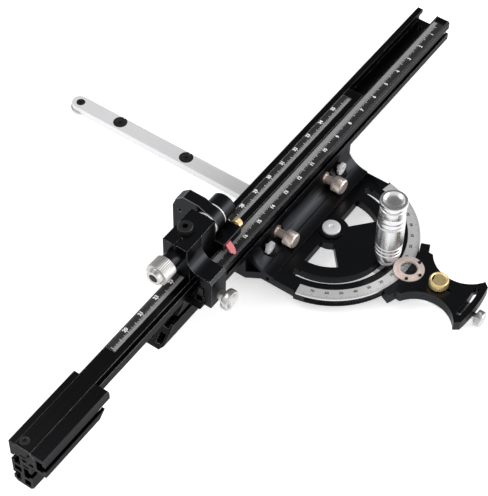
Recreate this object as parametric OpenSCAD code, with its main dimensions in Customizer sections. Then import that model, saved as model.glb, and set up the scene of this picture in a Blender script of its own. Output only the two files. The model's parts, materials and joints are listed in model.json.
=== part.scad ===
// Miter gauge with a telescoping fence, a flip stop and a one-degree index head.
// Frame: origin on the pivot axis at the top face of the miter bar, which is the table plane.
// +X runs along the fence, +Y forward along the miter bar, +Z up.

/* [Miter bar] */
// Width of the bar
bar_w = 19; // [16:0.5:22]
// Thickness of the bar
bar_t = 9.5; // [8:0.5:12]
// Length of the bar ahead of the pivot
bar_front = 365; // [330:5:460]
// Length of the bar behind the pivot
bar_rear = 177; // [177:1:195]
// Radius of the expansion discs let into the bar
disc_r = 8.4; // [7.5:0.1:8.8]
// Places of the expansion discs ahead of the pivot
disc_y = [200, 296];

/* [Head] */
// Thickness of the head plate
head_t = 10.7; // [9:0.1:13]
// Radius over the index teeth
rim_r = 98.5; // [96:0.5:99.5]
// Depth of the index teeth
tooth_d = 1.2; // [0.8:0.1:1.4]
// Width of the scale ring
ring_w = 13.5; // [11:0.5:14.5]
// Thickness of the scale ring
ring_t = 2; // [1.5:0.1:3]
// Half width of the head plate beside the pivot
head_half = 95; // [92:1:96]
// Half width of the upright flange
flange_half = 104; // [100:1:112]
// Thickness of the upright flange
flange_t = 14; // [12:1:14]
// Radius of the hollow sweep between plate and flange
cove_r = 29; // [24:1:29]
// Radius of the path of the clamp stud
stud_path_r = 72; // [71:0.5:73]
// Distance of the fence thumb screws from the middle
thumb_x = 48; // [42:1:54]
// Distance of the flat-head fence screws from the middle
flat_x = 71; // [68:1:80]

/* [Fence] */
// Right end of the fence
fence_right = 307; // [290:1:330]
// Toe of the bevelled left end
fence_left = -236; // [-260:1:-225]
// Depth of the fence, back to front
fence_d = 44.5; // [44.5:0.5:48]
// Height of the fence
fence_h = 70; // [70:0.5:74]
// How far the bevelled ends lean over the fence's height
bevel_run = 60; // [40:1:70]
// Width of the foot below the overhang
foot_d = 24.5; // [24.5:0.5:26]

/* [Telescoping beam] */
// How far the end block stands out from its closed place
beam_out = 168; // [60:1:200]
// Length of the end block along its top
block_len = 99; // [95:1:120]
// Sliding clearance round the beam
beam_gap = 0.25; // [0.15:0.05:0.4]

/* [Flip stop] */
// Left end of the stop carriage
stop_x = -187; // [-205:1:-180]
// Length of the carriage along the fence
stop_len = 50; // [48:1:56]
// Thickness of the flip arm
arm_t = 14; // [10:1:16]
// Radius of the arm's hub
hub_r = 14.4; // [13:0.1:15]

/* [Handle] */
// Height of the handle
handle_h = 96; // [85:1:110]
// Radius of the handle's barrel
handle_r = 15.2; // [13.5:0.1:15.8]

/* [Fits] */
// Radial running clearance of shafts and screws that turn
run_gap = 0.06; // [0.03:0.01:0.1]
// Radial clearance of pieces that are fixed together
fix_gap = 0.04; // [0.02:0.01:0.08]
// Gap between faces that slide or swing past one another
face_gap = 0.3; // [0.2:0.05:0.5]

/* [Hidden] */

$fn = 64;
eps = 0.01;
over = 2;

plate_z = face_gap;
plate_top = plate_z + head_t;
flange_front = 57;
flange_back = flange_front - flange_t;
flange_top = 42;
cove_y = flange_back - 1 - cove_r;

fence_z = 1;
fence_top = fence_z + fence_h;
fence_front = flange_front + foot_d;
fence_back = fence_front - fence_d;
overhang_z = flange_top + 1;

channel_open = [fence_front - 20, fence_front - 7.5];
channel_wide = [fence_front - 26.5, fence_front - 4.5];
channel_lip_z = fence_top - 5;
channel_floor_z = fence_top - 13;
tape_t = 0.35;
tape_y = [fence_back + 2, fence_back + 16.2];
ruler_left = fence_left + bevel_run + 4;
ruler_right = fence_right - 10;

back_slot_z = fence_top - 14.5;
back_slot_h = 8;
clamp_slot_z = 26.5;
flat_z = clamp_slot_z - 0.9;
clamp_slot_h = 8;
slot_lip = 3.5;
front_slots = [[43, 8], [13, 6]];

block_left = fence_left + bevel_run - beam_out - block_len;
block_right = block_left + block_len;
beam_right = fence_right + 4 - beam_out;

housing_t = 13;
housing_z = face_gap;
housing_front_r = rim_r + 1.1;
latch_travel = 2;
latch_rest_y = -137;
latch_half = 5;
latch_z = [3.4, 8.2];
latch_slot_half = 2.7;
lens_y = -100;
bezel_r = 17;
lens_r = 9.6;
bezel_screw_angles = [-20, -95, 200];
bezel_screw_pcr = 14.6;
housing_screw_at = [[-7.2, -118], [7.2, -118], [0, -163]];

pivot_r = 5;
stud_r = 4.2;
screw_r = 3;
hub_ring_r = 14;

hinge_y = fence_front - 8;
hinge_z = fence_top + 28;
stop_right = stop_x + stop_len;
stop_knob_x = stop_x + 13;
sleeve_r = 9.5;
shaft_r = 5;
micro_play = 2.5;
washer_t = 1.5;
hub_x = stop_right + micro_play + washer_t + 0.2;
cap_x = hub_x + arm_t + washer_t + 0.4;
cap_len = 18;
bracket_x = stop_right + 31;
pointer_y = hinge_y - 16.5;
pointer_z = fence_top + 8;

// A flat outline with straight knurling round its edge
module knurl(r, teeth, depth) {
    polygon([for (i = [0 : 2 * teeth - 1])
        let (a = i * 180 / teeth, q = (i % 2 == 0) ? r : r - depth)
        [q * cos(a), q * sin(a)]]);
}

// Turns a piece drawn along +Z so that it lies along -Y from the given place
module along_minus_y(x, y, z) {
    translate([x, y, z]) rotate([90, 0, 0]) children();
}

// Turns a piece drawn along +Z so that it lies along +X from the given place
module along_x(x, y, z) {
    translate([x, y, z]) rotate([0, 90, 0]) children();
}

// A section drawn as (y, z) and drawn out along X between two places
module extrude_x(x0, x1) {
    translate([x0, 0, 0]) rotate([90, 0, 90]) linear_extrude(x1 - x0) children();
}

// A flat sector of a ring about the origin, between two angles
module ring_sector(r0, r1, a0, a1) {
    steps = 12;
    far = r1 * 1.2;
    difference() {
        intersection() {
            circle(r1, $fn = 180);
            polygon(concat([[0, 0]], [for (i = [0 : steps])
                let (a = a0 + (a1 - a0) * i / steps) [far * cos(a), far * sin(a)]]));
        }
        circle(r0, $fn = 180);
    }
}

// A slot of given half width that follows a circle about the origin
module arc_slot(r, half, a0, a1) {
    ring_sector(r - half, r + half, a0, a1);
    for (a = [a0, a1]) rotate(a) translate([r, 0]) circle(half - 0.05);
}

// The miter bar and what is fastened in it
module bar_outline() {
    translate([-bar_w / 2, -bar_rear]) square([bar_w, bar_rear + bar_front - bar_w / 2]);
    translate([0, bar_front - bar_w / 2]) circle(bar_w / 2);
}

bar_end_y = bar_front - 11;
washer_r = 12;
relief_t = 3.2;
disc_t = 5;
disc_x = bar_w / 2 + 0.2 - disc_r;
end_knob_z = -bar_t / 2;

module miter_bar() {
    color("gainsboro") difference() {
        translate([0, 0, -bar_t]) linear_extrude(bar_t) bar_outline();
        translate([0, 0, -bar_t - over]) {
            cylinder(h = bar_t + 2 * over, r = pivot_r);
            translate([0, -stud_path_r, 0]) cylinder(h = bar_t + 2 * over, r = stud_r);
            translate([0, bar_end_y, 0]) cylinder(h = bar_t + 2 * over, r = screw_r + fix_gap);
            for (y = disc_y) translate([disc_x, y, 0]) cylinder(h = bar_t + 2 * over, r = 2.5 + fix_gap);
            for (p = housing_screw_at) translate([p[0], p[1], 0]) cylinder(h = bar_t + 2 * over, r = 1.5 + fix_gap);
            for (p = housing_screw_at) translate([p[0], p[1], over - eps]) cylinder(h = 2, r = 2.2);
            translate([-washer_r * 2, bar_end_y - washer_r - 0.5, over - eps]) cube([washer_r * 4, 60, relief_t]);
        }
        for (y = disc_y) translate([disc_x, y, -disc_t]) cylinder(h = disc_t + over, r = disc_r + fix_gap);
        translate([0, bar_end_y, -3]) cylinder(h = 3 + over, r = 5.4);
        along_minus_y(0, -bar_rear + 10, end_knob_z) cylinder(h = 10 + over, r = screw_r + run_gap);
    }
}

module bar_expansion_discs() {
    color("black") for (y = disc_y) translate([disc_x, y, -disc_t]) difference() {
        cylinder(h = disc_t, r = disc_r);
        translate([0, 0, -over]) cylinder(h = disc_t + 2 * over, r = 2.5 + fix_gap);
        translate([0, 0, disc_t - 2.2]) cylinder(h = 2.2 + over, r1 = 2.6, r2 = 4.6 + over);
        translate([2.4, -0.6, -over]) cube([disc_r, 1.2, disc_t + 2 * over]);
    }
}

module bar_disc_screws() {
    color("dimgray") for (y = disc_y) translate([disc_x, y, 0]) difference() {
        union() {
            translate([0, 0, -bar_t + 1]) cylinder(h = bar_t - 1 - 0.4, r = 2.5);
            translate([0, 0, -2]) cylinder(h = 1.8, r1 = 2.5, r2 = 4.1);
        }
        translate([0, 0, -2.2]) cylinder(h = 4, r = 1.7, $fn = 6);
    }
}

module bar_end_screw() {
    color("black") translate([0, bar_end_y, 0]) difference() {
        union() {
            translate([0, 0, -bar_t + 0.5]) cylinder(h = bar_t - 1, r = screw_r);
            translate([0, 0, -3]) cylinder(h = 2.9, r = 5.3);
        }
        translate([0, 0, -2]) cylinder(h = 4, r = 2.2, $fn = 6);
    }
}

module bar_end_washer() {
    color("dimgray") translate([0, bar_end_y, -bar_t + 0.4]) difference() {
        cylinder(h = relief_t - 0.5, r = washer_r);
        translate([0, 0, -over]) cylinder(h = relief_t + 2 * over, r = screw_r + fix_gap);
    }
}

module bar_end_knob() {
    color("silver") along_minus_y(0, -bar_rear - 0.2, end_knob_z) {
        translate([0, 0, -9]) cylinder(h = 9 + eps, r = screw_r);
        cylinder(h = 10, r = 4.2);
        translate([0, 0, 9.5]) linear_extrude(7) knurl(9.2, 30, 0.6);
        translate([0, 0, 16.5 - eps]) cylinder(h = 1, r1 = 8.4, r2 = 7.6);
    }
}

module pivot_screw() {
    color("silver") {
        translate([0, 0, -bar_t + 0.2]) cylinder(h = bar_t + plate_top + 2.3, r = pivot_r - fix_gap);
        translate([0, 0, plate_top + 2.3]) rotate_extrude() polygon([
            [0, 0], [10.3, 0], [10.3, 2.2], [9.6, 3], [3.2, 3.4], [2.4, 2.6], [0, 2.2]]);
    }
}

// The head plate with its upright flange, windows, stud slot and index teeth
module head_plan(r) {
    intersection() {
        circle(r, $fn = 180);
        translate([-rim_r - over, -rim_r - over]) square([2 * (rim_r + over), rim_r + over - 15]);
    }
    polygon([[-head_half, -25], [head_half, -25], [head_half, 28], [flange_half, flange_back],
        [flange_half, flange_front], [-flange_half, flange_front], [-flange_half, flange_back], [-head_half, 28]]);
}

// What is cut from the rim to leave the one-degree teeth standing
module tooth_gaps() {
    teeth = 148;
    first = -90 - teeth / 2;
    clear_r = rim_r + 3;
    polygon(concat([for (i = [0 : 2 * teeth])
        let (a = first + i / 2, q = (i % 2 == 0) ? rim_r - tooth_d : tooth_tip_r)
        [q * cos(a), q * sin(a)]],
        [for (i = [teeth / 4 : -1 : 0]) let (a = first + 4 * i) [clear_r * cos(a), clear_r * sin(a)]]));
}

module head_windows() {
    window = [20, 53.5];
    for (side = [0, 1]) mirror([side, 0]) ring_sector(window[0], window[1], -41, 0);
    arc_slot(stud_path_r, stud_r + 0.4, -178, -2);
}

tooth_tip_r = rim_r - 0.1;
tooth_z = [plate_z + 1.4, plate_top - ring_t - 0.5];
ring_r = [rim_r - 0.3 - ring_w, rim_r - 0.3];

module head_plate() {
    color([0.09, 0.09, 0.1]) difference() {
        union() {
            translate([0, 0, plate_z]) linear_extrude(head_t) head_plan(rim_r);
            translate([0, 0, plate_top - eps]) cylinder(h = 2, r = hub_ring_r);
            extrude_x(-head_half, head_half) difference() {
                translate([cove_y, plate_z]) square([flange_front - cove_y, flange_top - plate_z]);
                translate([cove_y, flange_top]) circle(cove_r, $fn = 96);
            }
            extrude_x(-flange_half, flange_half) translate([flange_back, plate_z])
                square([flange_t, flange_top - plate_z]);
        }
        translate([0, 0, -over]) {
            cylinder(h = 40, r = pivot_r + run_gap);
            linear_extrude(flange_top) head_windows();
        }
        translate([0, 0, tooth_z[0]]) linear_extrude(tooth_z[1] - tooth_z[0]) tooth_gaps();
        translate([0, 0, plate_top - ring_t]) linear_extrude(ring_t + over)
            ring_sector(ring_r[0] - 0.1, rim_r + over, -170.2, -9.8);
        for (side = [-1, 1]) {
            along_minus_y(side * thumb_x, flange_back - 1, clamp_slot_z) cylinder(h = 40, r = 8);
            along_minus_y(side * thumb_x, flange_front + over, clamp_slot_z) cylinder(h = 40, r = screw_r + run_gap);
            along_minus_y(side * flat_x, flange_back - 7.5, flat_z) cylinder(h = 30, r = 9.2);
            along_minus_y(side * flat_x, flange_front + over, flat_z)
                cylinder(h = 40, r = screw_r + fix_gap);
            along_x(side > 0 ? flange_half - 12 : -flange_half - over, flange_back + 7, 20)
                cylinder(h = 14, r = 2.2);
            along_x(side > 0 ? head_half - 12 : -head_half - over, 20, 6) cylinder(h = 14, r = 2.2);
        }
    }
}

module scale_ring() {
    color("gainsboro") translate([0, 0, plate_top - ring_t + 0.05]) linear_extrude(ring_t + 0.1)
        ring_sector(ring_r[0], ring_r[1], -170, -10);
}

// Screws and slot nuts that hold the fence to the flange
fence_nut_y = flange_front + slot_lip + 0.3;
fence_nut_t = 5.5;

module flat_screw(x) {
    along_minus_y(x, fence_nut_y + fence_nut_t, flat_z)
        cylinder(h = fence_nut_y + fence_nut_t - flange_back + 7.6, r = screw_r);
    along_minus_y(x, flange_back - 7.6, flat_z) difference() {
        cylinder(h = 3.4, r = 7.4);
        translate([0, 0, 1.6]) cylinder(h = 4, r = 2.9, $fn = 6);
    }
}

module fence_flat_screws() {
    color("silver") for (side = [-1, 1]) flat_screw(side * flat_x);
}

module fence_nuts() {
    color("dimgray") for (side = [-1, 1]) difference() {
        translate([side > 0 ? thumb_x - 9 : -flat_x - 8, fence_nut_y, clamp_slot_z - 6.8])
            cube([flat_x - thumb_x + 17, fence_nut_t, 13.6]);
        along_minus_y(side * thumb_x, fence_nut_y + 20, clamp_slot_z) cylinder(h = 40, r = screw_r + run_gap);
        along_minus_y(side * flat_x, fence_nut_y + 20, flat_z) cylinder(h = 40, r = screw_r + fix_gap);
    }
}

module thumb_screw(x) {
    along_minus_y(x, flange_back - 1.2, clamp_slot_z) {
        translate([0, 0, flange_back - 1.2 - fence_nut_y - fence_nut_t - 0.4])
            cylinder(h = fence_nut_y + fence_nut_t + 2 - flange_back + 1.2, r = screw_r);
        cylinder(h = 2, r = 7.2);
        cylinder(h = 14, r = 4.8);
        translate([0, 0, 14]) linear_extrude(11) knurl(9.2, 32, 0.6);
        translate([0, 0, 25 - eps]) cylinder(h = 1.4, r1 = 8.6, r2 = 7.4);
        translate([0, 0, 12.8]) cylinder(h = 1.3, r1 = 7.4, r2 = 8.6);
    }
}

module fence_thumb_screw_left() {
    color("rosybrown") thumb_screw(-thumb_x);
}

module fence_thumb_screw_right() {
    color("rosybrown") thumb_screw(thumb_x);
}

// The slotted section shared by the fence and the beam's end block
module t_slot(y_mouth, inward, z_mid, h, depth) {
    reach = inward * (slot_lip + over);
    translate([min(y_mouth - inward * over, y_mouth + reach), z_mid - h / 2]) square([slot_lip + 2 * over, h]);
    translate([min(y_mouth + inward * slot_lip, y_mouth + inward * (slot_lip + depth)), z_mid - h / 2 - 4])
        square([depth, h + 8]);
}

module fence_section() {
    bevel = 4;
    difference() {
        polygon([
            [fence_back, overhang_z + 1], [fence_back + 1, overhang_z], [flange_front, overhang_z],
            [flange_front, fence_z + bevel], [flange_front + bevel, fence_z],
            [fence_front - bevel, fence_z], [fence_front, fence_z + bevel], [fence_front, fence_top - 1],
            [fence_front - 1, fence_top], [fence_back + 2, fence_top], [fence_back, fence_top - 2]]);
        translate([channel_open[0], channel_lip_z - over])
            square([channel_open[1] - channel_open[0], 5 + 2 * over]);
        translate([channel_wide[0], channel_floor_z])
            square([channel_wide[1] - channel_wide[0], channel_lip_z - channel_floor_z]);
        translate([tape_y[0], fence_top - tape_t]) square([tape_y[1] - tape_y[0], 1]);
        t_slot(fence_back, 1, back_slot_z, back_slot_h, 8);
        t_slot(flange_front, 1, clamp_slot_z, clamp_slot_h, 6.5);
        for (s = front_slots) t_slot(fence_front, -1, s[0], s[1], s[1] - 0.5);
        translate([flange_front - 4, overhang_z + 3]) polygon([[0, 0], [8, 0], [3, 8], [0, 8]]);
        translate([flange_front + 6, overhang_z + 3]) polygon([[0, 0], [4, 0], [4, 8], [-3, 8]]);
        translate([flange_front + 3, fence_z + 4]) square([7.5, 9]);
        translate([fence_front - 11.5, 23]) square([8.5, 8]);
        translate([flange_front + 3, clamp_slot_z + 10.5]) square([7, 3]);
    }
}

// The slanting end of the fence: everything left of a line that leans right as it rises
module end_wedge(toe_x) {
    slope = bevel_run / fence_h;
    low = -5;
    high = fence_h + 5;
    translate([toe_x, fence_front + 5, fence_z]) rotate([90, 0, 0]) linear_extrude(fence_d + 10)
        polygon([[low * slope, low], [high * slope, high], [-90, high], [-90, low]]);
}

module fence() {
    color([0.1, 0.1, 0.11]) difference() {
        extrude_x(fence_left, fence_right) fence_section();
        end_wedge(fence_left);
        translate([fence_right - 14, (channel_open[0] + channel_open[1]) / 2, fence_z])
            cylinder(h = fence_h + over, r = 2.4);
    }
}

module fence_ruler() {
    color("lightgray") translate([ruler_left, tape_y[0] + 0.1, fence_top - tape_t])
        cube([ruler_right - ruler_left, tape_y[1] - tape_y[0] - 0.2, tape_t - 0.02]);
}

// The telescoping beam
beam_top = fence_top - 0.1;
beam_tape = [channel_open[0] + 0.7, channel_open[1] - 0.7];
beam_tape_x = [block_left + 139.5, beam_right - 12];
block_screw_at = [block_left + 8, (channel_open[0] + channel_open[1]) / 2];
set_screw_x = [block_left + 4.5, block_right - 10];

module beam() {
    color([0.12, 0.12, 0.13]) difference() {
        extrude_x(block_left, beam_right) difference() {
            union() {
                translate([channel_open[0] + beam_gap, channel_floor_z + beam_gap])
                    square([channel_open[1] - channel_open[0] - 2 * beam_gap, beam_top - channel_floor_z - beam_gap]);
                translate([channel_wide[0] + beam_gap, channel_floor_z + beam_gap])
                    square([channel_wide[1] - channel_wide[0] - 2 * beam_gap,
                        channel_lip_z - channel_floor_z - 2 * beam_gap]);
            }
            translate([channel_wide[0] + 2.6, channel_lip_z - beam_gap - 0.8]) square([1, 2]);
            translate([channel_wide[0] + 6, channel_floor_z - 1]) square([9, 3.2]);
        }
        translate([beam_tape_x[0], beam_tape[0], beam_top - tape_t])
            cube([beam_tape_x[1] - beam_tape_x[0], beam_tape[1] - beam_tape[0], 1]);
        translate([block_screw_at[0], block_screw_at[1], fence_z]) cylinder(h = fence_h, r = 2.5 + fix_gap);
        translate([block_screw_at[0], block_screw_at[1], beam_top - 2.6]) cylinder(h = 5, r = 4.6);
    }
}

module beam_ruler() {
    color("lightgray") translate([beam_tape_x[0] + 0.1, beam_tape[0] + 0.1, beam_top - tape_t])
        cube([beam_tape_x[1] - beam_tape_x[0] - 0.2, beam_tape[1] - beam_tape[0] - 0.2, tape_t - 0.02]);
}

module beam_end_block() {
    color([0.1, 0.1, 0.11]) intersection() {
        difference() {
            extrude_x(block_left, block_right) fence_section();
            translate([block_screw_at[0], block_screw_at[1], channel_floor_z - 5]) cylinder(h = 10, r = 2.5 + fix_gap);
            for (x = set_screw_x) translate([x, fence_back + 9, fence_top - 6]) cylinder(h = 8, r = 1.5 + fix_gap);
        }
        end_wedge(block_right - bevel_run);
    }
}

module block_screw() {
    color("silver") translate([block_screw_at[0], block_screw_at[1], 0]) difference() {
        union() {
            translate([0, 0, channel_floor_z - 4]) cylinder(h = beam_top - channel_floor_z + 4 - 1, r = 2.5);
            translate([0, 0, beam_top - 2.5]) cylinder(h = 2.8, r = 4.5);
        }
        translate([0, 0, beam_top - 1.6]) cylinder(h = 4, r = 2.2, $fn = 6);
    }
}

module block_set_screws() {
    color("black") for (x = set_screw_x) translate([x, fence_back + 9, fence_top - 5.8]) difference() {
        cylinder(h = 4.4, r = 1.5);
        translate([0, 0, 2.4]) cylinder(h = 4, r = 0.8, $fn = 6);
    }
}

// The flip stop's carriage, which straddles the fence and clamps in its back slot
leg_w = 25;
leg_y = [fence_back - 9.5, fence_back - face_gap];

module carriage_section() {
    block_back = hinge_y - 15;
    block_front = hinge_y + 15.5;
    top = hinge_z + 16;
    seat = fence_top + 0.15;
    web_z = 15;
    web_r = 16;
    difference() {
        polygon(concat([
            [leg_y[0], back_slot_z - 10], [leg_y[0] + 1.5, back_slot_z - 12], [leg_y[1], back_slot_z - 12],
            [leg_y[1], seat], [fence_front + 0.5, seat], [fence_front + 0.5, hinge_z - 14],
            [block_front, hinge_z - 14], [block_front, top], [block_back, top]],
            [for (a = [0 : -10 : -90])
                [block_back + web_r * (cos(a) - 1), seat + web_z + web_r * (sin(a) + 1)]],
            [[leg_y[0] + 3, seat + web_z], [leg_y[0], seat + web_z - 3]]));
        translate([fence_back + 4, seat - 1]) polygon([[0, 0], [15, 0], [15, 15], [11, 12], [0, 9]]);
    }
}

module stop_carriage() {
    color([0.08, 0.08, 0.09]) difference() {
        extrude_x(stop_x, stop_right) carriage_section();
        translate([stop_x + leg_w, fence_back - 20, overhang_z - 10])
            cube([stop_len, hinge_y - 14.4 - fence_back + 20, 100]);
        along_x(stop_x - over, hinge_y, hinge_z) cylinder(h = stop_len + 2 * over, r = sleeve_r + fix_gap);
        translate([stop_x - over, hinge_y - 1, hinge_z]) cube([14, 2, 20]);
        translate([stop_x + 23, hinge_y + 4, hinge_z + 10.5]) cylinder(h = 8, r = screw_r + fix_gap);
        along_minus_y(stop_knob_x, fence_back + 5, back_slot_z) cylinder(h = 30, r = screw_r + run_gap);
        along_x(stop_right - 10, pointer_y + 5, pointer_z) cylinder(h = 12, r = 1.5 + fix_gap);
    }
}

module stop_clamp_screw() {
    color("black") translate([stop_x + 23, hinge_y + 4, hinge_z + 16]) difference() {
        union() {
            translate([0, 0, -5]) cylinder(h = 6, r = screw_r);
            translate([0, 0, 0.1]) cylinder(h = 5.2, r = 8.3);
            translate([0, 0, 5.3 - eps]) cylinder(h = 0.8, r1 = 8.3, r2 = 7.5);
        }
        translate([0, 0, 2.6]) cylinder(h = 6, r = 3.4, $fn = 6);
    }
}

slot_nut_y = fence_back + slot_lip + 0.4;

module stop_slot_nut() {
    color("dimgray") difference() {
        translate([stop_knob_x - 10, slot_nut_y, back_slot_z - 7]) cube([20, 6, 14]);
        along_minus_y(stop_knob_x, slot_nut_y + 10, back_slot_z) cylinder(h = 20, r = screw_r + run_gap);
    }
}

module stop_thumb_knob() {
    color("silver") along_minus_y(stop_knob_x, leg_y[0] - 0.3, back_slot_z) {
        translate([0, 0, leg_y[0] - slot_nut_y - 6]) cylinder(h = slot_nut_y + 6 - leg_y[0] + 1, r = screw_r);
        cylinder(h = 6, r = 6);
        difference() {
            translate([0, 0, 5]) linear_extrude(12) knurl(10.6, 34, 0.6);
            translate([0, 0, 15.6]) cylinder(h = 3, r1 = 6.4, r2 = 9);
        }
    }
}

// The flip stop's fine adjuster and hinge, all on one axis along the fence
knob_len = 17;

module micro_sleeve() {
    color([0.08, 0.08, 0.09]) along_x(stop_x - 15, hinge_y, hinge_z) difference() {
        cylinder(h = 15 + stop_len - 0.5, r = sleeve_r);
        translate([0, 0, -over]) cylinder(h = 15 + stop_len + 2 * over, r = shaft_r + run_gap);
    }
}

module micro_knob() {
    color("silver") along_x(stop_x - 15.3 - knob_len, hinge_y, hinge_z) difference() {
        union() {
            linear_extrude(knob_len) knurl(13, 40, 0.5);
            translate([0, 0, -5]) cylinder(h = 6, r1 = 8.6, r2 = 9.6);
        }
        translate([0, 0, -over - 5]) cylinder(h = knob_len + 5 + 2 * over, r = shaft_r + run_gap);
    }
}

module hinge_shaft() {
    color("dimgray") along_x(stop_x - 15 - 12, hinge_y, hinge_z)
        cylinder(h = cap_x + cap_len - 3 - stop_x + 27, r = shaft_r);
}

module hinge_washers() {
    color("whitesmoke") for (x = [hub_x - washer_t - 0.1, hub_x + arm_t + 0.2]) along_x(x, hinge_y, hinge_z)
        difference() {
            cylinder(h = washer_t, r = hub_r - 0.6);
            translate([0, 0, -over]) cylinder(h = washer_t + 2 * over, r = shaft_r + fix_gap);
        }
}

module hinge_cap() {
    color([0.08, 0.08, 0.09]) along_x(cap_x, hinge_y, hinge_z) difference() {
        union() {
            cylinder(h = cap_len - 2, r = hub_r);
            translate([0, 0, cap_len - 2 - eps]) cylinder(h = 2, r1 = hub_r, r2 = hub_r - 2);
        }
        translate([0, 0, -over]) cylinder(h = cap_len - 3 + over + 0.2, r = shaft_r + fix_gap);
    }
}

module stop_arm() {
    inner = fence_front + 2.7;
    outer = inner + 33;
    color([0.09, 0.09, 0.1]) difference() {
        union() {
            along_x(hub_x, hinge_y, hinge_z) cylinder(h = arm_t, r = hub_r);
            extrude_x(hub_x, hub_x + arm_t) polygon([[hinge_y - 3, hinge_z + hub_r - 2], [inner, hinge_z + 19], [outer - 13, hinge_z + 19],
                [outer - 4, hinge_z + 11], [outer, hinge_z], [outer, 13], [outer - 7, 6], [inner + 6, 6],
                [inner, 12], [inner, hinge_z - 12], [hinge_y - 3, hinge_z - hub_r + 2]]);
        }
        along_x(hub_x - over, hinge_y, hinge_z) cylinder(h = arm_t + 2 * over, r = shaft_r + run_gap);
        along_x(hub_x - over, outer - 9, hinge_z - 4) cylinder(h = arm_t + 2 * over, r = 2);
    }
}

module pointer_bracket() {
    color([0.08, 0.08, 0.09]) difference() {
        translate([stop_right + 0.1, pointer_y - 9, pointer_z - 5])
            cube([bracket_x - stop_right - 0.1, 18, 10]);
        along_x(bracket_x - 12, pointer_y, pointer_z) cylinder(h = 14, r = 2 + run_gap);
    }
}

module ruler_pointer() {
    tip = 12;
    lift = 0.5;
    width = 8;
    color([0.75, 0.08, 0.1]) translate([stop_right + 1.5, pointer_y - 9.1, fence_top + lift])
        intersection() {
            rotate([90, 0, 90]) linear_extrude(width)
                polygon([[0, 12], [-1.4, 12], [-10.5, 1.4], [-10.5, 0], [-9.6, 0], [0, 9.6]]);
            translate([0, 5, 0]) rotate([90, 0, 0]) linear_extrude(20)
                polygon([[0, tip + 1], [width, tip + 1], [width, 5], [width / 2 + 0.6, 0], [width / 2 - 0.6, 0], [0, 5]]);
        }
}

module pointer_knob() {
    color("gold") along_x(bracket_x + 0.3, pointer_y, pointer_z) {
        translate([0, 0, -10]) cylinder(h = 11, r = 2);
        cylinder(h = 2.5, r = 3.2);
        translate([0, 0, 2]) linear_extrude(6.5) knurl(5.2, 24, 0.5);
    }
}

// The index housing behind the rim, with its reading lens and latch
module housing_body() {
    waist = [52.8, -143];
    waist_r = 37.8;
    rear_half = 33.5;
    rear_r = bar_rear + 7;
    difference() {
        intersection() {
            polygon([[-rear_half, -97], [rear_half, -97], [rear_half, 1 - bar_rear], [rear_half - 4, -bar_rear - 4],
                [rear_half - 4, -bar_rear - 20], [4 - rear_half, -bar_rear - 20], [4 - rear_half, -bar_rear - 4],
                [-rear_half, 1 - bar_rear]]);
            circle(rear_r, $fn = 180);
        }
        circle(housing_front_r, $fn = 180);
        for (side = [-1, 1]) translate([side * waist[0], waist[1]]) circle(waist_r, $fn = 120);
    }
}

module housing_horns() {
    horn_w = 10.5;
    horn_a = 23.5;
    ring_sector(housing_front_r - eps, housing_front_r + horn_w, -90 - horn_a, -90 + horn_a);
}

module index_housing() {
    color([0.08, 0.08, 0.09]) difference() {
        union() {
            translate([0, 0, housing_z]) linear_extrude(housing_t) housing_body();
            translate([0, 0, housing_z]) linear_extrude(housing_t) housing_horns();
        }
        translate([-latch_half - run_gap, -latch_half - 150, latch_z[0] - 0.1])
            cube([2 * (latch_half + run_gap), 70, latch_z[1] - latch_z[0] + 0.2]);
        translate([-latch_slot_half, -152, 5]) cube([2 * latch_slot_half, 21, 20]);
        translate([0, 0, -over]) linear_extrude(30) arc_slot(bar_rear - 2.5, 2.6, -96.5, -83.5);
        for (p = housing_screw_at) translate([p[0], p[1], -over]) cylinder(h = 10, r = 1.5 + fix_gap);
        for (a = bezel_screw_angles) if (lens_y + bezel_screw_pcr * sin(a) < -housing_front_r - 1)
            translate([bezel_screw_pcr * cos(a), lens_y + bezel_screw_pcr * sin(a), 8]) cylinder(h = 10, r = 1.1 + fix_gap);
    }
}

module housing_screws() {
    color("dimgray") for (p = housing_screw_at) translate([p[0], p[1], -bar_t + 0.1]) {
        cylinder(h = bar_t + 6, r = 1.5);
        cylinder(h = 1.8, r = 2.1);
    }
}

bezel_z = housing_z + housing_t;

module lens_bezel() {
    color("rosybrown") translate([0, lens_y, bezel_z]) difference() {
        union() {
            cylinder(h = 1.6, r = bezel_r);
            cylinder(h = 3.2, r = lens_r + 2.4);
        }
        translate([0, 0, -over]) cylinder(h = 4, r = lens_r - 1);
        translate([0, 0, 1]) cylinder(h = 4, r = lens_r + fix_gap);
        for (a = bezel_screw_angles) translate([bezel_screw_pcr * cos(a), bezel_screw_pcr * sin(a), -over])
            cylinder(h = 6, r = 1.1 + fix_gap);
    }
}

module lens() {
    color([0.8, 0.88, 0.9, 0.5]) translate([0, lens_y, bezel_z + 1.05])
        rotate_extrude() polygon([[0, 0], [lens_r, 0], [lens_r, 1.8], [lens_r - 2, 2.3], [lens_r / 2, 2.9], [0, 3.2]]);
}

module bezel_screws() {
    color("black") for (a = bezel_screw_angles)
        translate([bezel_screw_pcr * cos(a), lens_y + bezel_screw_pcr * sin(a), bezel_z]) {
            translate([0, 0, lens_y + bezel_screw_pcr * sin(a) < -housing_front_r - 1 ? -4 : 0])
                cylinder(h = lens_y + bezel_screw_pcr * sin(a) < -housing_front_r - 1 ? 6 : 2, r = 1.1);
            translate([0, 0, 1.65]) cylinder(h = 1, r = 1.9);
        }
}

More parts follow.
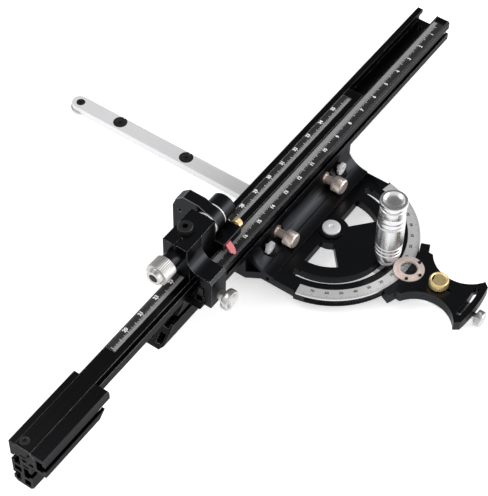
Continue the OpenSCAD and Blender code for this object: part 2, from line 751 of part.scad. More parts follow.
// The latch that drops into the index teeth. It is modelled drawn back, clear of the rim.
module index_latch() {
    nose = 4;
    back = -150;
    color("silver") difference() {
        translate([0, -latch_travel, latch_z[0]]) linear_extrude(latch_z[1] - latch_z[0])
            polygon(concat([[-latch_half, back], [latch_half, back]], [for (i = [2 * nose : -1 : -2 * nose])
                let (a = -90 + i / 2, q = (i % 2 == 0) ? rim_r - tooth_d + 0.2 : tooth_tip_r + 0.2)
                if (abs(q * cos(a)) < latch_half) [q * cos(a), q * sin(a)]]));
        translate([0, latch_rest_y, 0]) cylinder(h = 20, r = 2.5 + run_gap);
    }
}

module latch_knob() {
    color("gold") translate([0, latch_rest_y, 0]) {
        translate([0, 0, latch_z[0] + 1]) cylinder(h = 12, r = 2.5);
        translate([0, 0, bezel_z + 0.2]) difference() {
            union() {
                cylinder(h = 1.6, r = 7);
                translate([0, 0, 1.5]) linear_extrude(8.4) knurl(10.8, 34, 0.6);
                translate([0, 0, 9.9 - eps]) cylinder(h = 1, r1 = 10.1, r2 = 9.3);
            }
            translate([0, 0, 9.6]) cylinder(h = 3, r1 = 7.6, r2 = 11);
        }
    }
}

// The clamp handle and its stud
module clamp_stud() {
    color("dimgray") translate([0, -stud_path_r, -bar_t + 0.2])
        cylinder(h = bar_t + plate_top + 30, r = stud_r - fix_gap);
}

clamp_washer_z = plate_top + 0.2;

module clamp_washer() {
    color("silver") translate([0, -stud_path_r, clamp_washer_z]) difference() {
        cylinder(h = 1.8, r = 10.4);
        translate([0, 0, -over]) cylinder(h = 6, r = stud_r + run_gap);
    }
}

module handle() {
    r = handle_r;
    h = handle_h;
    groove = 0.9;
    color("silver") translate([0, -stud_path_r, clamp_washer_z + 1.9]) difference() {
        rotate_extrude() polygon([
            [0, 0], [7.4, 0], [7.4, 2.5], [9.5, 3.4], [12.4, 6], [r - 1.2, 9.5], [r - 0.6, 12], [r - 0.6, 14],
            [r - 0.6 - groove, 14.6], [r - 0.6 - groove, 15.6], [r - 0.4, 16.2], [r - 0.4, 18.6],
            [r - 0.4 - groove, 19.2], [r - 0.4 - groove, 20.2], [r, 20.8], [r, h - 44],
            [r - groove, h - 43.4], [r - groove, h - 42.2], [r, h - 41.6], [r, h - 38],
            [r - groove, h - 37.4], [r - groove, h - 36.2], [r - 0.3, h - 35.6], [r - 0.3, h - 32],
            [r - 0.3 - groove, h - 31.4], [r - 0.3 - groove, h - 30.2], [r - 0.6, h - 29.6], [r - 0.9, h - 10],
            [r - 2.4, h - 7.6], [r - 2.4, h - 6], [r - 0.9, h - 4.6], [r - 0.9, h - 1.4], [r - 2, h],
            [r - 3.4, h], [r - 5.5, h - 1.8], [0, h - 3]]);
        translate([0, 0, -over]) cylinder(h = 33, r = stud_r - fix_gap + run_gap);
    }
}

miter_bar();
bar_expansion_discs();
bar_disc_screws();
bar_end_screw();
bar_end_washer();
bar_end_knob();
pivot_screw();
index_housing();
housing_screws();
lens_bezel();
lens();
bezel_screws();
index_latch();
latch_knob();
clamp_stud();
clamp_washer();
handle();
head_plate();
scale_ring();
fence_flat_screws();
fence_nuts();
fence_thumb_screw_left();
fence_thumb_screw_right();
fence();
fence_ruler();
beam();
beam_ruler();
beam_end_block();
block_screw();
block_set_screws();
stop_carriage();
stop_clamp_screw();
stop_slot_nut();
stop_thumb_knob();
micro_sleeve();
micro_knob();
hinge_shaft();
hinge_washers();
hinge_cap();
stop_arm();
pointer_bracket();
ruler_pointer();
pointer_knob();
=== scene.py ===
import json
import math

import bmesh
import bpy
from mathutils import Matrix, Vector

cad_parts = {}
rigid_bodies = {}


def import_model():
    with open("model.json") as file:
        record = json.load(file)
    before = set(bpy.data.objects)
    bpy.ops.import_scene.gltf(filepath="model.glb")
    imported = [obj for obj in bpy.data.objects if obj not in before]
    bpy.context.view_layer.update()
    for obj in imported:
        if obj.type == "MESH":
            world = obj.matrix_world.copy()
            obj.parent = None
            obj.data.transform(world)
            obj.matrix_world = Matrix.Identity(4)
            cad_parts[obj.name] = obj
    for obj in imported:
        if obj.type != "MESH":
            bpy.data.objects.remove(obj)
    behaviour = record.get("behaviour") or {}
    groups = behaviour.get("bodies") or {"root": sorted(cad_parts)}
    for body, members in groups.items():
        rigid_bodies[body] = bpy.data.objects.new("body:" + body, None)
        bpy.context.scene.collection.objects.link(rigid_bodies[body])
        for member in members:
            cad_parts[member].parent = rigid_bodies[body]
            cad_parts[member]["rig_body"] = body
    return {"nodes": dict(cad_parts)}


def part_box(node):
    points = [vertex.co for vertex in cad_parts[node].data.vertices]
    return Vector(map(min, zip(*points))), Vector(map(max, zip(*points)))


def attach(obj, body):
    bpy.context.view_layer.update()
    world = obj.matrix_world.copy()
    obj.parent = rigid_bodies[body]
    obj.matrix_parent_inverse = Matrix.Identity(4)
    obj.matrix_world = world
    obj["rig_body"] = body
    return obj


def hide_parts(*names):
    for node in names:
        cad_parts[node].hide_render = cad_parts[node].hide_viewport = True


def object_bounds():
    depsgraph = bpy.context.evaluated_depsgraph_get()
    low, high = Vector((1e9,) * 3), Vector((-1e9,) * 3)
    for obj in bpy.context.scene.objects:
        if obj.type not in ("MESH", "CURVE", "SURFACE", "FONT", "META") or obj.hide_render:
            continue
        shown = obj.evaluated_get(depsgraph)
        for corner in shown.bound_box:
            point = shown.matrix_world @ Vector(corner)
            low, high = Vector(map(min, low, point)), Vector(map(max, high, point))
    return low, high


for leftover in list(bpy.data.objects):
    bpy.data.objects.remove(leftover)

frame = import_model()
cad_low, cad_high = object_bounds()
nodes = frame["nodes"]
scene = bpy.context.scene

# Lengths in this file are in millimetres unless a line says otherwise, and MM turns them into metres.
MM = 0.001
INCH = 25.4


# Shader helpers

def shader(name):
    mat = bpy.data.materials.new(name)
    mat.use_nodes = True
    tree = mat.node_tree
    bsdf = tree.nodes["Principled BSDF"]
    return mat, tree, bsdf


def object_coords(tree, scale):
    coords = tree.nodes.new("ShaderNodeTexCoord")
    mapping = tree.nodes.new("ShaderNodeMapping")
    mapping.inputs["Scale"].default_value = scale
    tree.links.new(coords.outputs["Object"], mapping.inputs["Vector"])
    return mapping.outputs["Vector"]


def noise(tree, vector, scale, detail=4.0, roughness=0.6):
    tex = tree.nodes.new("ShaderNodeTexNoise")
    tex.inputs["Scale"].default_value = scale
    tex.inputs["Detail"].default_value = detail
    tex.inputs["Roughness"].default_value = roughness
    tree.links.new(vector, tex.inputs["Vector"])
    return tex.outputs["Fac"]


def ramp(tree, source, stops):
    node = tree.nodes.new("ShaderNodeValToRGB")
    node.color_ramp.elements[0].position = stops[0][0]
    node.color_ramp.elements[0].color = (*stops[0][1], 1)
    node.color_ramp.elements[1].position = stops[-1][0]
    node.color_ramp.elements[1].color = (*stops[-1][1], 1)
    for position, colour in stops[1:-1]:
        node.color_ramp.elements.new(position).color = (*colour, 1)
    tree.links.new(source, node.inputs["Fac"])
    return node.outputs["Color"]


def span(tree, source, low, high):
    """A source between 0 and 1, stretched to run from low to high."""
    node = tree.nodes.new("ShaderNodeMapRange")
    node.inputs["To Min"].default_value = low
    node.inputs["To Max"].default_value = high
    tree.links.new(source, node.inputs["Value"])
    return node.outputs["Result"]


def bump(tree, bsdf, height, strength, distance):
    """A relief in the shading only. Distance is in metres."""
    node = tree.nodes.new("ShaderNodeBump")
    node.inputs["Strength"].default_value = strength
    node.inputs["Distance"].default_value = distance
    tree.links.new(height, node.inputs["Height"])
    tree.links.new(node.outputs["Normal"], bsdf.inputs["Normal"])


GRAIN_DEPTH = 0.00003
MOTTLE_DEPTH = 0.00002


def grained_metal(name, dark, light, metallic, rough, scale, grain, strength):
    """A metal whose colour and gloss vary along its grain. Scale is per axis, in cycles per metre."""
    mat, tree, bsdf = shader(name)
    fine = noise(tree, object_coords(tree, scale), 1.0, 5.0, 0.6)
    cloud = noise(tree, object_coords(tree, (1, 1, 1)), grain, 3.0, 0.5)
    colour = ramp(tree, fine, [(0.3, dark), (0.7, light)])
    tree.links.new(colour, bsdf.inputs["Base Color"])
    bsdf.inputs["Metallic"].default_value = metallic
    tree.links.new(span(tree, cloud, rough[0], rough[1]), bsdf.inputs["Roughness"])
    bump(tree, bsdf, fine, strength, GRAIN_DEPTH)
    return mat


def turned_metal(name, dark, light, metallic, rough, axis, pitch):
    """Lathe-turned metal: fine rings round the axis it was turned on."""
    mat, tree, bsdf = shader(name)
    vector = object_coords(tree, (1, 1, 1))
    wave = tree.nodes.new("ShaderNodeTexWave")
    wave.wave_type = "BANDS"
    wave.bands_direction = axis
    wave.inputs["Scale"].default_value = pitch
    wave.inputs["Distortion"].default_value = 0.6
    wave.inputs["Detail"].default_value = 2.0
    tree.links.new(vector, wave.inputs["Vector"])
    smear = noise(tree, vector, 160.0)
    colour = ramp(tree, smear, [(0.3, dark), (0.7, light)])
    tree.links.new(colour, bsdf.inputs["Base Color"])
    bsdf.inputs["Metallic"].default_value = metallic
    tree.links.new(span(tree, smear, rough[0], rough[1]), bsdf.inputs["Roughness"])
    bump(tree, bsdf, wave.outputs["Fac"], 0.12, GRAIN_DEPTH)
    return mat


black = grained_metal(
    "anodised_black", (0.022, 0.0225, 0.025), (0.034, 0.035, 0.038), 1.0, (0.24, 0.34),
    (2600, 2600, 2600), 30.0, 0.08)
extrusion = grained_metal(
    "extruded_black", (0.014, 0.014, 0.015), (0.024, 0.024, 0.026), 1.0, (0.26, 0.36),
    (14, 1800, 1800), 18.0, 0.12)
for dark_metal in (black, extrusion):
    dark_shader = dark_metal.node_tree.nodes["Principled BSDF"]
    dark_shader.inputs["Specular Tint"].default_value = (0.6, 0.6, 0.6, 1)
screw_black = grained_metal(
    "black_oxide", (0.006, 0.006, 0.006), (0.02, 0.02, 0.02), 0.3, (0.3, 0.5),
    (900, 900, 900), 60.0, 0.1)
bar_metal = grained_metal(
    "bar_aluminium", (0.78, 0.78, 0.79), (0.86, 0.86, 0.87), 0.3, (0.34, 0.46),
    (1500, 20, 1500), 25.0, 0.1)
zinc = grained_metal(
    "zinc_steel", (0.42, 0.42, 0.41), (0.6, 0.6, 0.58), 0.9, (0.3, 0.45),
    (900, 900, 900), 60.0, 0.1)
nickel = turned_metal(
    "nickel", (0.5, 0.49, 0.48), (0.6, 0.59, 0.58), 0.95, (0.24, 0.34), "Y", 900)
polished = turned_metal(
    "polished_aluminium", (0.64, 0.64, 0.65), (0.72, 0.72, 0.73), 1.0, (0.24, 0.32), "Z", 700)
brass = turned_metal(
    "brass", (0.78, 0.6, 0.28), (0.88, 0.7, 0.38), 0.8, (0.28, 0.4), "Z", 900)
pink = turned_metal(
    "pink_metal", (0.78, 0.66, 0.61), (0.86, 0.75, 0.7), 0.75, (0.3, 0.4), "Y", 900)
pink_bezel = grained_metal(
    "pink_bezel", (0.76, 0.62, 0.57), (0.84, 0.7, 0.65), 0.35, (0.32, 0.44),
    (700, 700, 700), 60.0, 0.08)
ring_metal = grained_metal(
    "satin_scale", (0.66, 0.66, 0.66), (0.78, 0.78, 0.77), 0.5, (0.3, 0.42),
    (1200, 1200, 1200), 40.0, 0.1)
washer_white = grained_metal(
    "washer_white", (0.74, 0.74, 0.73), (0.84, 0.84, 0.83), 0.2, (0.3, 0.4),
    (500, 500, 500), 40.0, 0.05)


MOTTLE_SCALE = 400.0


def plain(name, colour, rough, spread=0.15, metallic=0.0):
    """Ink, tape, plastic or a painted highlight on an edge: nearly even, with a little mottle."""
    mat, tree, bsdf = shader(name)
    mottle = noise(tree, object_coords(tree, (1, 1, 1)), MOTTLE_SCALE)
    low = tuple(c * (1 - spread) for c in colour)
    tree.links.new(ramp(tree, mottle, [(0.35, low), (0.65, colour)]), bsdf.inputs["Base Color"])
    tree.links.new(span(tree, mottle, rough - 0.06, rough + 0.06), bsdf.inputs["Roughness"])
    bsdf.inputs["Metallic"].default_value = metallic
    bump(tree, bsdf, mottle, 0.06, MOTTLE_DEPTH)
    return mat


tape_black = plain("tape_black", (0.016, 0.016, 0.017), 0.42)
tape_grey = plain("tape_grey", (0.19, 0.19, 0.195), 0.45)
ink_white = plain("ink_white", (0.95, 0.95, 0.95), 0.5, spread=0.04)
ink_black = plain("ink_black", (0.03, 0.03, 0.03), 0.5)
# The three edge colours are lighter than the black metal they edge: painted highlights along the broken
# edges.
bright_edge_highlight = plain("bright_edge_highlight", (0.72, 0.72, 0.73), 0.3, metallic=0.2)
faint_edge_highlight = plain("faint_edge_highlight", (0.13, 0.13, 0.133), 0.26, metallic=0.2)
grey_edge_highlight = plain("grey_edge_highlight", (0.5, 0.5, 0.505), 0.28, metallic=0.2)
tape_tick = plain("tape_tick", (0.42, 0.42, 0.425), 0.45)
red = plain("red_acrylic", (0.5, 0.01, 0.02), 0.2)
red_shader = red.node_tree.nodes["Principled BSDF"]
red_shader.inputs["Coat Weight"].default_value = 0.5

glass, _, glass_shader = shader("lens_glass")
glass_shader.inputs["Base Color"].default_value = (0.95, 0.98, 0.98, 1)
glass_shader.inputs["Transmission Weight"].default_value = 1.0
glass_shader.inputs["Roughness"].default_value = 0.02
glass_shader.inputs["IOR"].default_value = 1.3


# Mesh helpers

def link(obj):
    scene.collection.objects.link(obj)
    return obj


def mesh_piece(name, bm, body, material):
    mesh = bpy.data.meshes.new(name)
    bm.to_mesh(mesh)
    bm.free()
    mesh.materials.append(material)
    obj = link(bpy.data.objects.new(name, mesh))
    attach(obj, body)
    return obj


WELD = 0.004
SHARP = math.radians(32)
SAME_PLANE = math.radians(0.6)
EDGE_SEGMENTS = 2
ALONG_AN_AXIS = 0.9999


def soften(node, body, material, width, edge=None, reshape=None):
    """A copy of a CAD solid with its sharp edges broken, which stands for the solid.

    Edge is a material for the broken edges, a lighter colour that paints a highlight along them, and
    reshape is a function that corrects the copy's form.
    """
    source = nodes[node]
    bm = bmesh.new()
    bm.from_mesh(source.data)
    bmesh.ops.remove_doubles(bm, verts=bm.verts, dist=WELD * MM)
    bmesh.ops.dissolve_degenerate(bm, dist=WELD * MM, edges=bm.edges)
    if reshape:
        reshape(bm)
        bm.normal_update()
    bmesh.ops.dissolve_limit(bm, angle_limit=SAME_PLANE, verts=bm.verts, edges=bm.edges,
                             delimit={"NORMAL"})
    for f in bm.faces:
        f.smooth = True
    mesh = bpy.data.meshes.new(node + "_body")
    bm.to_mesh(mesh)
    bm.free()
    mesh.set_sharp_from_angle(angle=SHARP)
    if reshape:
        for polygon in mesh.polygons:
            polygon.use_smooth = max(abs(c) for c in polygon.normal) < ALONG_AN_AXIS
    mesh.materials.append(material)
    if edge:
        mesh.materials.append(edge)
    obj = link(bpy.data.objects.new(node + "_body", mesh))
    if width:
        bevel = obj.modifiers.new("edges", "BEVEL")
        bevel.width = width * MM
        bevel.segments = EDGE_SEGMENTS
        bevel.limit_method = "ANGLE"
        bevel.angle_limit = SHARP
        bevel.harden_normals = not reshape
        bevel.use_clamp_overlap = True
        if edge:
            bevel.material = 1
    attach(obj, body)
    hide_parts(node)
    return obj


body_of = {n: o["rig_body"] for n, o in nodes.items()}

# Each node's material, and the width of its broken edges.
dress = {
    "miter_bar": (bar_metal, 0.5), "bar_expansion_discs": (screw_black, 0.2),
    "bar_disc_screws": (screw_black, 0.15),
    "bar_end_screw": (screw_black, 0.3), "bar_end_washer": (zinc, 0.3), "bar_end_knob": (nickel, 0.2),
    "pivot_screw": (bar_metal, 0.2), "index_housing": (black, 0.8), "housing_screws": (zinc, 0.2),
    "lens_bezel": (pink_bezel, 0.3), "bezel_screws": (screw_black, 0.15), "index_latch": (zinc, 0.15),
    "latch_knob": (brass, 0.2), "clamp_stud": (zinc, 0.2), "clamp_washer": (nickel, 0.3),
    "head_plate": (black, 0.45), "scale_ring": (ring_metal, 0.12),
    "fence_flat_screws": (bar_metal, 0.25), "fence_nuts": (zinc, 0.3),
    "fence_thumb_screw_left": (pink, 0.2), "fence_thumb_screw_right": (pink, 0.2),
    "fence": (extrusion, 0.35), "beam": (extrusion, 0.25), "beam_end_block": (extrusion, 0.35),
    "block_screw": (screw_black, 0.2), "block_set_screws": (screw_black, 0.1),
    "stop_carriage": (black, 0.65),
    # The slot nut down in the carriage's hollow takes the near-black of the screws: painted shade on a zinc
    # nut.
    "stop_clamp_screw": (screw_black, 0.35), "stop_slot_nut": (screw_black, 0.3),
    "micro_sleeve": (black, 0.3), "micro_knob": (nickel, 0.2), "hinge_shaft": (zinc, 0.3),
    "hinge_washers": (washer_white, 0.2), "hinge_cap": (black, 0.4), "stop_arm": (black, 0.6),
    "pointer_bracket": (black, 0.4), "ruler_pointer": (red, 0.15), "pointer_knob": (brass, 0.15),
    "fence_ruler": (tape_black, 0.0), "beam_ruler": (tape_black, 0.0),
}
# The lighter colours on these parts' broken edges are painted highlights.
edges = {
    "stop_carriage": bright_edge_highlight, "fence": grey_edge_highlight, "beam": grey_edge_highlight, "beam_end_block": grey_edge_highlight,
    "head_plate": faint_edge_highlight, "index_housing": faint_edge_highlight, "stop_arm": faint_edge_highlight,
    "pointer_bracket": faint_edge_highlight,
}


# The solids of the fence, its end block and the beam are drawn with a narrower beam and a plain slanting
# end. Their copies here get the wide beam, its channel and the square land above the slanting ends.
LAND = 10.0
RUN = 60.0
FOOT_Z = 1.0
FENCE_TOP = 71.0
FENCE_TOE = -236.0
BLOCK_TOE = -404.0

# Each table gives the place of an edge of the solid, and the place of that edge in the copy.
CHANNEL_SIDES = {61.5: 54.5, 55.0: 51.5, 77.0: 77.5}
CHANNEL_FLOORS = {58.0: 54.1, 54.0: 50.6}
BEAM_SIDES = {61.75: 54.75, 55.25: 51.75, 76.75: 77.25}
SAME_EDGE = 0.02
ON_SLOPE = 0.05

# The part of the section that the channel takes up, and the height below which the beam gets deeper.
CHANNEL_BACK = 54.0
CAVITY_BACK = 52.0
CHANNEL_FRONT = 78.0
CHANNEL_LOW = 57.5
BEAM_LOW = 60.5
BEAM_DEEPER = 4.0
CUT_MERGE = 0.0005


def move_edges(v, axis, moves):
    at = v.co[axis] / MM
    for old, new in moves.items():
        if abs(at - old) < SAME_EDGE:
            v.co[axis] = new * MM


def widen_channel(bm):
    for v in bm.verts:
        y, z = v.co.y / MM, v.co.z / MM
        if z > CHANNEL_LOW and CHANNEL_BACK < y < CHANNEL_FRONT:
            move_edges(v, 1, CHANNEL_SIDES)
        if CAVITY_BACK < y < CHANNEL_FRONT:
            move_edges(v, 2, CHANNEL_FLOORS)


def square_land(bm, toe):
    """Turns an end that slants over the whole height into a 45 degree slant below a square land."""
    cut = (FENCE_TOP - LAND) * MM
    everything = bm.verts[:] + bm.edges[:] + bm.faces[:]
    bmesh.ops.bisect_plane(bm, geom=everything, dist=CUT_MERGE * MM, plane_co=(0, 0, cut),
                           plane_no=(0, 0, 1))
    slope = RUN / (FENCE_TOP - FOOT_Z)
    for v in bm.verts:
        x, z = v.co.x / MM, v.co.z / MM
        if abs(x - toe - slope * (z - FOOT_Z)) < ON_SLOPE:
            v.co.x = (toe + min(RUN, z - FOOT_Z)) * MM


def fence_form(bm):
    square_land(bm, FENCE_TOE)
    widen_channel(bm)


def block_form(bm):
    square_land(bm, BLOCK_TOE)
    widen_channel(bm)


def beam_form(bm):
    for v in bm.verts:
        move_edges(v, 1, BEAM_SIDES)
        if v.co.z / MM < BEAM_LOW:
            v.co.z -= BEAM_DEEPER * MM


forms = {"fence": fence_form, "beam_end_block": block_form, "beam": beam_form}
for node, (material, width) in dress.items():
    soften(node, body_of[node], material, width, edges.get(node), forms.get(node))


SHARP_TURNING = math.radians(38)


def lathe(name, node, profile, place, material, segments=96, knurl=None):
    """A turned piece, from (radius, height) pairs, which stands for a CAD solid.

    Knurl gives the heights between which every second line of points lies deeper, and how deep.
    """
    bm = bmesh.new()
    rings = []
    for radius, height in profile:
        ring = []
        for i in range(segments):
            a = 2 * math.pi * i / segments
            r = radius
            if knurl and knurl[0] < height < knurl[1] and i % 2:
                r = radius - knurl[2]
            point = Vector((r * math.cos(a) * MM, r * math.sin(a) * MM, height * MM))
            ring.append(bm.verts.new(place @ point))
        rings.append(ring)
    for lower, upper in zip(rings, rings[1:]):
        for i in range(segments):
            k = (i + 1) % segments
            bm.faces.new((lower[i], lower[k], upper[k], upper[i]))
    bm.faces.new(list(reversed(rings[0])))
    bm.faces.new(rings[-1])
    for f in bm.faces:
        f.smooth = True
    bmesh.ops.recalc_face_normals(bm, faces=bm.faces)
    piece = mesh_piece(name, bm, body_of[node], material)
    piece.data.set_sharp_from_angle(angle=SHARP_TURNING)
    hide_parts(node)
    return piece


# The handle: heights above its foot, then depths below its top.
handle_low, handle_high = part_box("handle")
handle_length = (handle_high.z - handle_low.z) / MM
handle_foot = [
    (7.2, 0.0), (7.6, 2.4), (9.4, 3.4), (11.7, 5.2), (13.4, 8.0), (14.3, 11.5), (14.6, 15.0),
    (14.6, 17.0), (13.7, 17.8), (13.7, 18.6), (14.7, 19.4), (14.8, 22.6), (13.9, 23.4),
    (13.9, 24.2), (14.9, 25.0), (15.1, 28.4), (14.3, 29.2), (14.3, 30.0), (15.2, 30.8)]
handle_head = [
    (15.2, 36.0), (14.4, 35.2), (14.0, 34.2), (14.4, 33.2), (15.0, 31.6), (15.0, 30.6),
    (14.2, 29.0), (13.8, 27.8), (14.2, 26.6), (14.8, 25.0), (14.8, 24.0), (13.8, 22.2),
    (13.4, 20.8), (13.6, 19.2), (14.2, 17.0), (14.4, 12.0), (14.4, 9.6), (13.2, 8.6),
    (13.2, 7.6), (14.8, 6.8), (15.2, 5.6), (15.2, 1.6), (14.6, 0.5), (13.4, 0.0),
    (11.6, 0.0), (10.8, 0.7), (9.4, 2.0), (6.0, 3.0), (0.6, 3.3)]
handle_profile = handle_foot + [(radius, handle_length - depth) for radius, depth in handle_head]
handle_centre = ((handle_low.x + handle_high.x) / 2, (handle_low.y + handle_high.y) / 2, handle_low.z)
lathe("handle_body", "handle", handle_profile, Matrix.Translation(handle_centre), polished)

# The carriage's thumb knob: a knurled disc with a dished face, and its screw.
knob_low, knob_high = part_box("stop_thumb_knob")
knob_length = (knob_high.y - knob_low.y) / MM
knob_centre = ((knob_low.x + knob_high.x) / 2, knob_low.y, (knob_low.z + knob_high.z) / 2)
knob_turn = Matrix.Translation(knob_centre) @ Matrix.Rotation(math.radians(-90), 4, "X")
knob_profile = [
    (2.0, 3.6), (5.0, 3.2), (7.6, 1.6), (9.2, 0.6), (9.8, 0.5), (11.0, 0.9), (11.6, 1.8), (11.6, 7.8),
    (10.8, 8.6), (7.0, 9.0), (6.0, 9.8), (6.0, 17.2), (5.6, 17.6), (3.0, 17.8),
    (3.0, knob_length - 0.2), (2.6, knob_length)]
KNURL_LINES = 34
KNURL = (1.5, 8.0, 0.5)
lathe("stop_thumb_knob_body", "stop_thumb_knob", knob_profile, knob_turn, nickel, 2 * KNURL_LINES, KNURL)

lens = nodes["lens"]
lens.data.materials.clear()
lens.data.materials.append(glass)


# Rulers and the head's scale

def add_quad(bm, corners):
    bm.faces.new([bm.verts.new(c) for c in corners])


def add_rect(bm, x0, x1, y0, y1, z):
    """A level rectangle. Only its height, z, is in metres."""
    corners = ((x0, y0), (x1, y0), (x1, y1), (x0, y1))
    add_quad(bm, [(x * MM, y * MM, z) for x, y in corners])


FIGURE_BOLDNESS = 0.035
FIGURE_CURVE_STEPS = 3


def add_number(bm, text, size, place):
    """Flat figures of the given height, put in place by a matrix."""
    curve = bpy.data.curves.new("figure", "FONT")
    curve.body = text
    curve.size = size * MM
    curve.align_x = "CENTER"
    curve.align_y = "CENTER"
    curve.offset = size * MM * FIGURE_BOLDNESS
    curve.resolution_u = FIGURE_CURVE_STEPS
    obj = link(bpy.data.objects.new("figure", curve))
    bpy.context.view_layer.update()
    made = bpy.data.meshes.new_from_object(obj.evaluated_get(bpy.context.evaluated_depsgraph_get()))
    made.transform(place)
    bm.from_mesh(made)
    bpy.data.objects.remove(obj)
    bpy.data.meshes.remove(made)
    bpy.data.curves.remove(curve)


# Marks lie on their tape in layers: the band, the fine ticks on it, the white ticks and figures. The
# lifts are in metres.
BAND_LIFT = 0.00003
FINE_LIFT = 0.00005
INK_LIFT = 0.00006

TAPE_MARGIN = 0.6
FINE_MARGIN = 0.9
FINE_PITCH = INCH / 16
FINE_HALF = 0.32
FINE_INSET = 0.2
FIGURE_SIZE = 5.6
FIGURE_MARGIN = 2
TICK_MARGIN = 0.4

# A tick stands at each sixteenth, and its length follows the largest of these steps that divides its count.
TICK_STEPS = (16, 8, 4, 2, 1)
TICK_LENGTHS = {16: 3.6, 8: 2.9, 4: 2.3, 2: 1.8, 1: 1.3}
THICK_TICK = 0.24
THIN_TICK = 0.16


def inch_scale(name, body, node, first_x, first, last, label_y, band, tick_from, runs, grows):
    """Inch marks and figures along X on a tape, and the grey band beside them.

    The figure first stands at first_x. Runs is +1 where figures grow towards +X, and grows is +1
    where the ticks reach from tick_from towards +Y.
    """
    low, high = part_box(node)
    left, right = low.x / MM + TAPE_MARGIN, high.x / MM - TAPE_MARGIN
    grey = bmesh.new()
    add_rect(grey, left, right, band[0], band[1], high.z + BAND_LIFT)
    mesh_piece(name + "_band", grey, body, tape_grey)
    fine = bmesh.new()
    at = left + FINE_MARGIN
    while at < right - FINE_MARGIN:
        add_rect(fine, at - FINE_HALF, at + FINE_HALF, band[0] + FINE_INSET, band[1] - FINE_INSET,
                 high.z + FINE_LIFT)
        at += FINE_PITCH
    mesh_piece(name + "_fine_ticks", fine, body, tape_tick)
    marks = bmesh.new()
    for i in range(-8, (last - first) * 16 + 16):
        x = first_x + i / 16 * INCH * runs
        if not left + TICK_MARGIN < x < right - TICK_MARGIN:
            continue
        step = next(s for s in TICK_STEPS if i % s == 0)
        half = THICK_TICK if step >= 8 else THIN_TICK
        y0, y1 = sorted((tick_from, tick_from + grows * TICK_LENGTHS[step]))
        add_rect(marks, x - half, x + half, y0, y1, high.z + INK_LIFT)
    for n in range(first, last + 1):
        x = first_x + (n - first) * INCH * runs
        if left + FIGURE_MARGIN < x < right - FIGURE_MARGIN:
            place = Matrix.Translation((x * MM, label_y * MM, high.z + INK_LIFT))
            add_number(marks, str(n), FIGURE_SIZE, place)
    mesh_piece(name + "_marks", marks, body, ink_white)


FENCE_FIGURE_ONE = 275.8
BEAM_FIGURE_19 = -300.9
inch_scale("fence_ruler", "head", "fence_ruler", FENCE_FIGURE_ONE, 1, 21, label_y=43.0,
           band=(47.6, 52.6), tick_from=47.6, runs=-1, grows=-1)
inch_scale("beam_ruler", "telescoping_beam", "beam_ruler", BEAM_FIGURE_19, 19, 36, label_y=70.6,
           band=(62.4, 65.3), tick_from=65.3, runs=1, grows=1)

# The head's scale: a tick for each degree, zero straight behind the pivot, figures at the tens.
RING_TICK_OUTER = 97.2
RING_TICK_INNER = 95.4
RING_TICK_FIVES = 94.2
RING_TICK_TENS = 93.2
RING_TICK_HALF = 0.13
RING_FIGURE_RADIUS = 89.4
RING_FIGURE_SIZE = 4.6
RING_LAST_TICK = 76
RING_LAST_FIGURE = 70
RING_LIFT = 0.00003

_, ring_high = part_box("scale_ring")
ring_lift = Vector((0, 0, ring_high.z + RING_LIFT))
ring_marks = bmesh.new()
for degree in range(-RING_LAST_TICK, RING_LAST_TICK + 1):
    a = math.radians(degree - 90)
    inner = RING_TICK_INNER
    if degree % 10 == 0:
        inner = RING_TICK_TENS
    elif degree % 5 == 0:
        inner = RING_TICK_FIVES
    radial = Vector((math.cos(a), math.sin(a), 0))
    across = Vector((-math.sin(a), math.cos(a), 0)) * RING_TICK_HALF * MM
    start = radial * inner * MM + ring_lift
    end = radial * RING_TICK_OUTER * MM + ring_lift
    add_quad(ring_marks, [start - across, end - across, end + across, start + across])
    if degree % 10 == 0 and abs(degree) <= RING_LAST_FIGURE:
        turn = Matrix.Rotation(a + math.pi / 2, 4, "Z")
        place = Matrix.Translation(radial * RING_FIGURE_RADIUS * MM + ring_lift)
        add_number(ring_marks, str(abs(degree)), RING_FIGURE_SIZE, place @ turn)
mesh_piece("scale_ring_marks", ring_marks, "head", ink_black)


# The reading line under the lens

HAIR_HALF = 0.25
HAIR_FROM = -107.0
HAIR_TO = -90.5
HAIR_LIFT = 0.0002

lens_low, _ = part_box("lens")
hair = bmesh.new()
add_rect(hair, -HAIR_HALF, HAIR_HALF, HAIR_FROM, HAIR_TO, lens_low.z + HAIR_LIFT)
mesh_piece("lens_hairline", hair, "bar", ink_black)


# Floor, lights and camera

FLOOR_REACH = 6000
FLOOR_GAP = 0.0002
FLOOR_GLOW = 0.5

floor_bm = bmesh.new()
add_rect(floor_bm, -FLOOR_REACH, FLOOR_REACH, -FLOOR_REACH, FLOOR_REACH, cad_low.z - FLOOR_GAP)
floor_mesh = bpy.data.meshes.new("floor")
floor_bm.to_mesh(floor_mesh)
floor_bm.free()
floor = link(bpy.data.objects.new("floor", floor_mesh))
floor_mat, floor_tree, floor_shader = shader("floor_paper")
floor_grain = noise(floor_tree, object_coords(floor_tree, (1, 1, 1)), 40.0)
floor_colour = ramp(floor_tree, floor_grain, [(0.3, (0.93, 0.93, 0.93)), (0.7, (0.95, 0.95, 0.95))])
floor_tree.links.new(floor_colour, floor_shader.inputs["Base Color"])
floor_shader.inputs["Roughness"].default_value = 0.9
floor_shader.inputs["Specular IOR Level"].default_value = 0.1

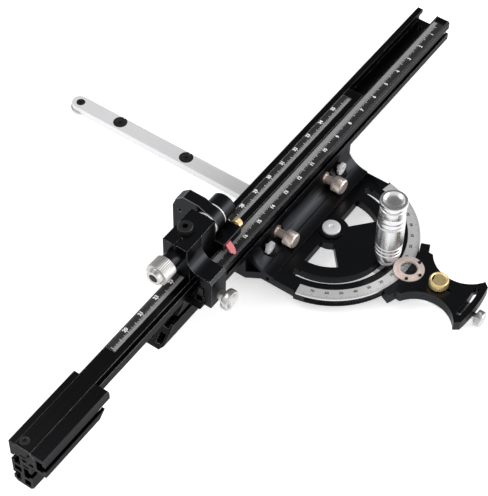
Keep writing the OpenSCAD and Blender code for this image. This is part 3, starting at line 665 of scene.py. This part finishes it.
# The floor glows a little where it is seen, mirrored or looked at through glass, and lights nothing.
sight = floor_tree.nodes.new("ShaderNodeLightPath")
seen = floor_tree.nodes.new("ShaderNodeMath")
seen.operation = "MAXIMUM"
floor_tree.links.new(sight.outputs["Is Camera Ray"], seen.inputs[0])
floor_tree.links.new(sight.outputs["Is Glossy Ray"], seen.inputs[1])
seen_through = floor_tree.nodes.new("ShaderNodeMath")
seen_through.operation = "MAXIMUM"
floor_tree.links.new(seen.outputs["Value"], seen_through.inputs[0])
floor_tree.links.new(sight.outputs["Is Transmission Ray"], seen_through.inputs[1])
glow = floor_tree.nodes.new("ShaderNodeEmission")
glow_level = span(floor_tree, seen_through.outputs["Value"], 0.0, FLOOR_GLOW)
floor_tree.links.new(glow_level, glow.inputs["Strength"])
both = floor_tree.nodes.new("ShaderNodeAddShader")
floor_tree.links.new(floor_shader.outputs["BSDF"], both.inputs[0])
floor_tree.links.new(glow.outputs["Emission"], both.inputs[1])
floor_tree.links.new(both.outputs["Shader"], floor_tree.nodes["Material Output"].inputs["Surface"])
floor_mesh.materials.append(floor_mat)

# The sky is bright all round and dim towards one side, which the polished and black metals mirror.
DIM_SIDE = (0.53, 0.36, 0.77)
DIM_FROM, DIM_TO = 0.45, 0.95
SKY_BRIGHT, SKY_DIM = 0.95, 0.22

world = bpy.data.worlds.new("studio")
world.use_nodes = True
scene.world = world
world.node_tree.nodes["Background"].inputs["Color"].default_value = (1, 1, 1, 1)
world_tree = world.node_tree
sky_coords = world_tree.nodes.new("ShaderNodeTexCoord")
toward_dim = world_tree.nodes.new("ShaderNodeVectorMath")
toward_dim.operation = "DOT_PRODUCT"
toward_dim.inputs[1].default_value = DIM_SIDE
world_tree.links.new(sky_coords.outputs["Generated"], toward_dim.inputs[0])
sky_level = world_tree.nodes.new("ShaderNodeMapRange")
sky_level.interpolation_type = "SMOOTHSTEP"
sky_level.inputs["From Min"].default_value = DIM_FROM
sky_level.inputs["From Max"].default_value = DIM_TO
sky_level.inputs["To Min"].default_value = SKY_BRIGHT
sky_level.inputs["To Max"].default_value = SKY_DIM
world_tree.links.new(toward_dim.outputs["Value"], sky_level.inputs["Value"])
world_tree.links.new(sky_level.outputs["Result"], world_tree.nodes["Background"].inputs["Strength"])


def area_light(name, place, size, power):
    """A rectangular lamp, aimed at the origin. Place and size are in metres, and power in watts."""
    data = bpy.data.lights.new(name, "AREA")
    data.shape = "RECTANGLE"
    data.size, data.size_y = size
    data.energy = power
    obj = link(bpy.data.objects.new(name, data))
    obj.location = place
    obj.rotation_mode = "QUATERNION"
    obj.rotation_quaternion = (-Vector(place)).to_track_quat("-Z", "Y")


area_light("key", (-0.5, 0.9, 1.5), (1.0, 0.7), 9)
area_light("fill", (1.0, -1.45, 0.95), (1.9, 1.2), 20)

# The camera, solved from the fence's figures and edges in the photograph. Place is in metres.
PHOTO_HEIGHT = 496
FOCAL_LENGTH_PIXELS = 1637.4
SENSOR = 36
CAMERA_PLACE = (-1.0199, -0.5748, 1.3910)
azimuth, elevation, roll = math.radians(-55.9), math.radians(50.5), math.radians(1.3)

level = math.cos(elevation)
back = Vector((math.sin(azimuth) * level, -math.cos(azimuth) * level, math.sin(elevation)))
right = Vector((math.cos(azimuth), math.sin(azimuth), 0))
up = back.cross(right)
rolled_right = right * math.cos(roll) + up * math.sin(roll)
rolled_up = up * math.cos(roll) - right * math.sin(roll)
camera = bpy.data.cameras.new("camera")
camera.sensor_width = SENSOR
camera.lens = FOCAL_LENGTH_PIXELS / PHOTO_HEIGHT * SENSOR
camera.clip_start = 0.05
camera.clip_end = 50
camera_object = link(bpy.data.objects.new("camera", camera))
camera_turn = Matrix((rolled_right, rolled_up, back)).transposed()
camera_object.matrix_world = Matrix.Translation(CAMERA_PLACE) @ camera_turn.to_4x4()
scene.camera = camera_object
scene.view_settings.view_transform = "Standard"

bpy.context.view_layer.update()
